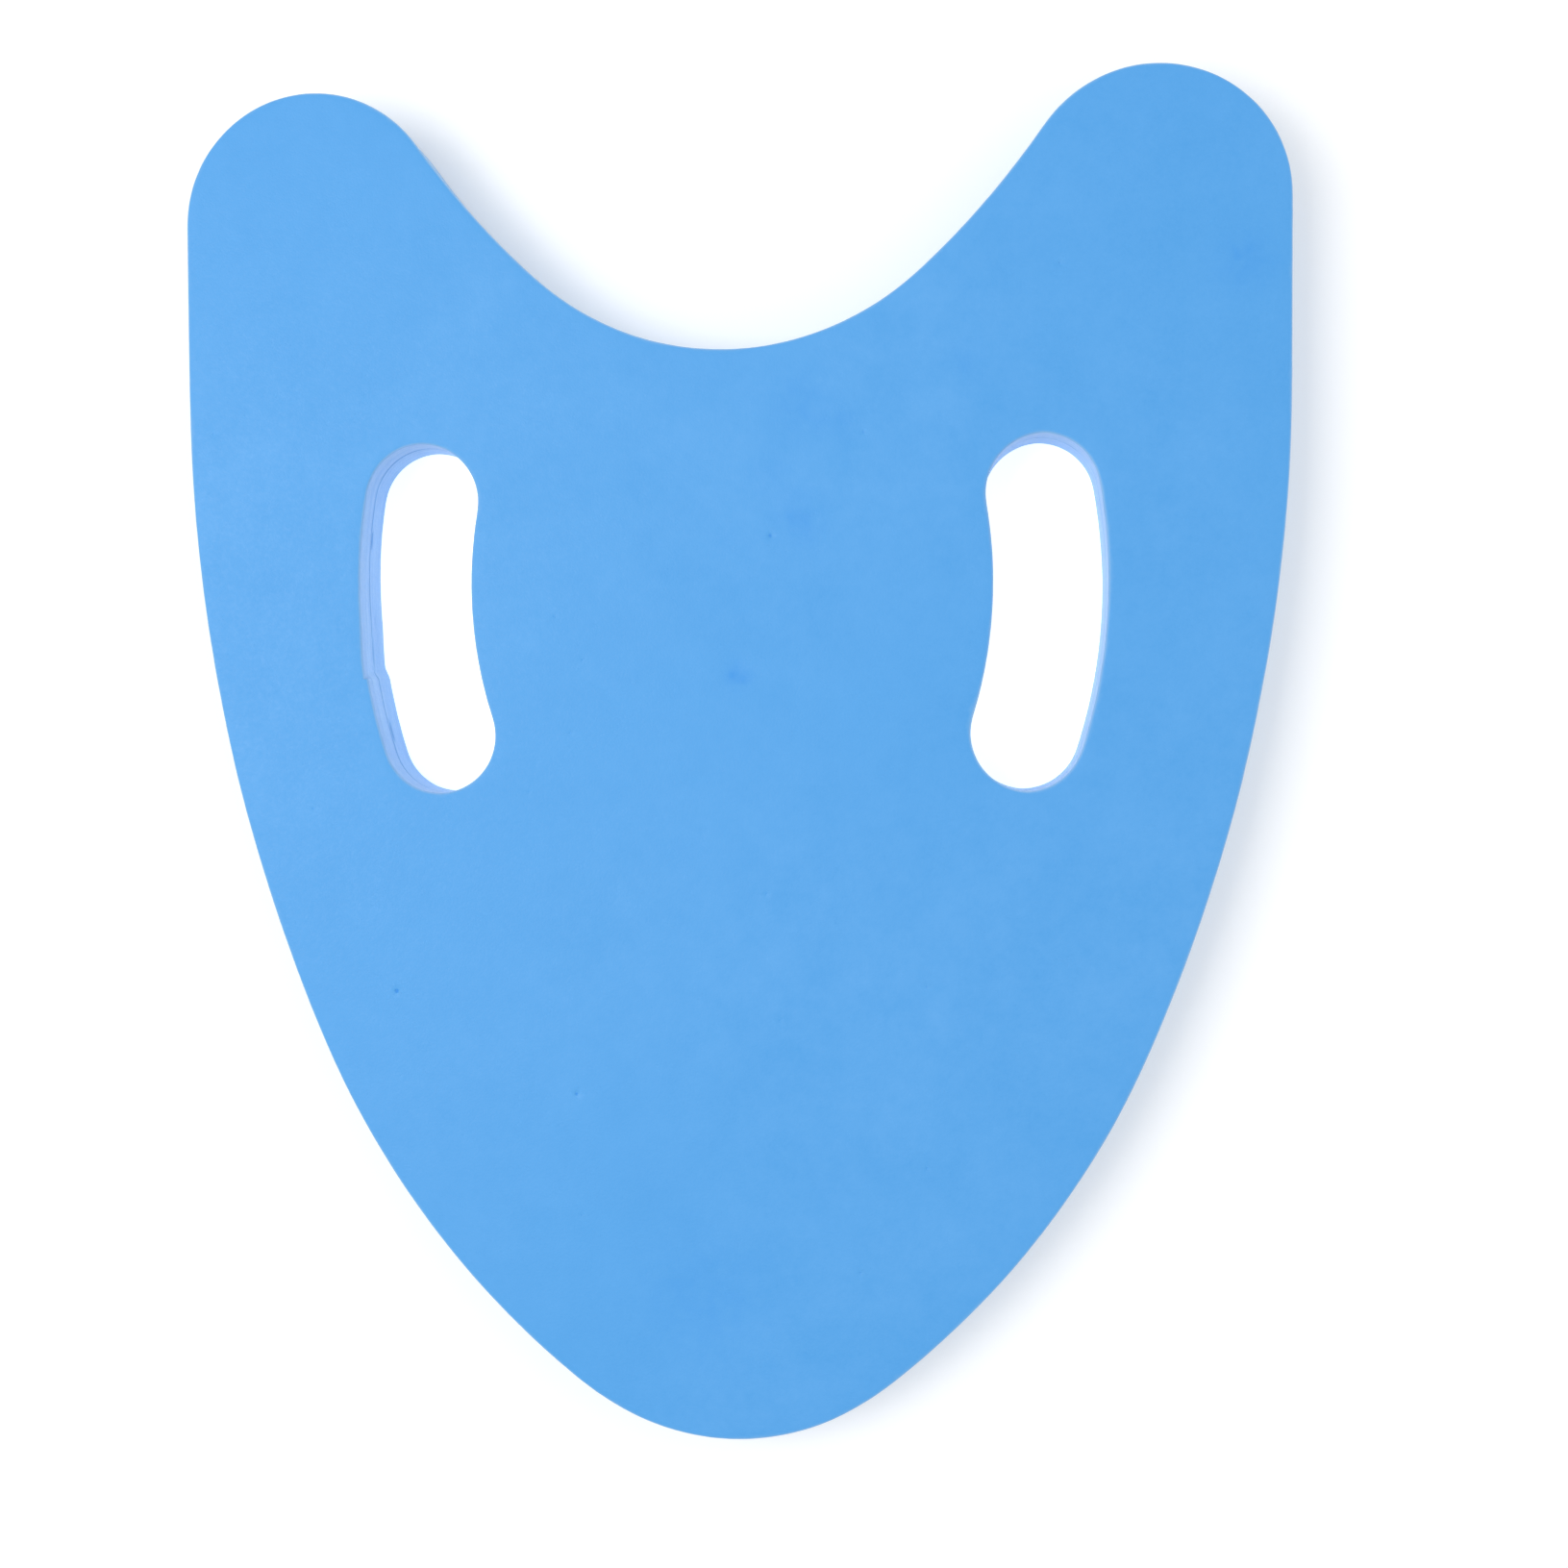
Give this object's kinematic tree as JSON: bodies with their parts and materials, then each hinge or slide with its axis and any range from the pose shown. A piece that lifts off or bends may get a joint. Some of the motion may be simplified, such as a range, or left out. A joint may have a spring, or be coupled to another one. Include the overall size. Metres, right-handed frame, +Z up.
{
  "type": "swimming kickboard",
  "caption": "Flat foam kickboard shaped like a shield, with two horns, a round notch, a rounded tip and curved hand slots, laminated from sheets.",
  "frame": {"origin": "middle of the board's width and length, on the underside it lies on", "axes": "+X across the board, +Y along it from the rounded tip towards the horns and notch, +Z up through its thickness"},
  "size_m": [0.311, 0.385, 0.025],
  "materials": {
    "foam": "matte",
    "glue": "satin"
  },
  "bodies": {
    "root": {"upper_foam_sheet": "foam", "glue_film": "glue", "lower_foam_sheet": "foam"}
  },
  "joints": []
}
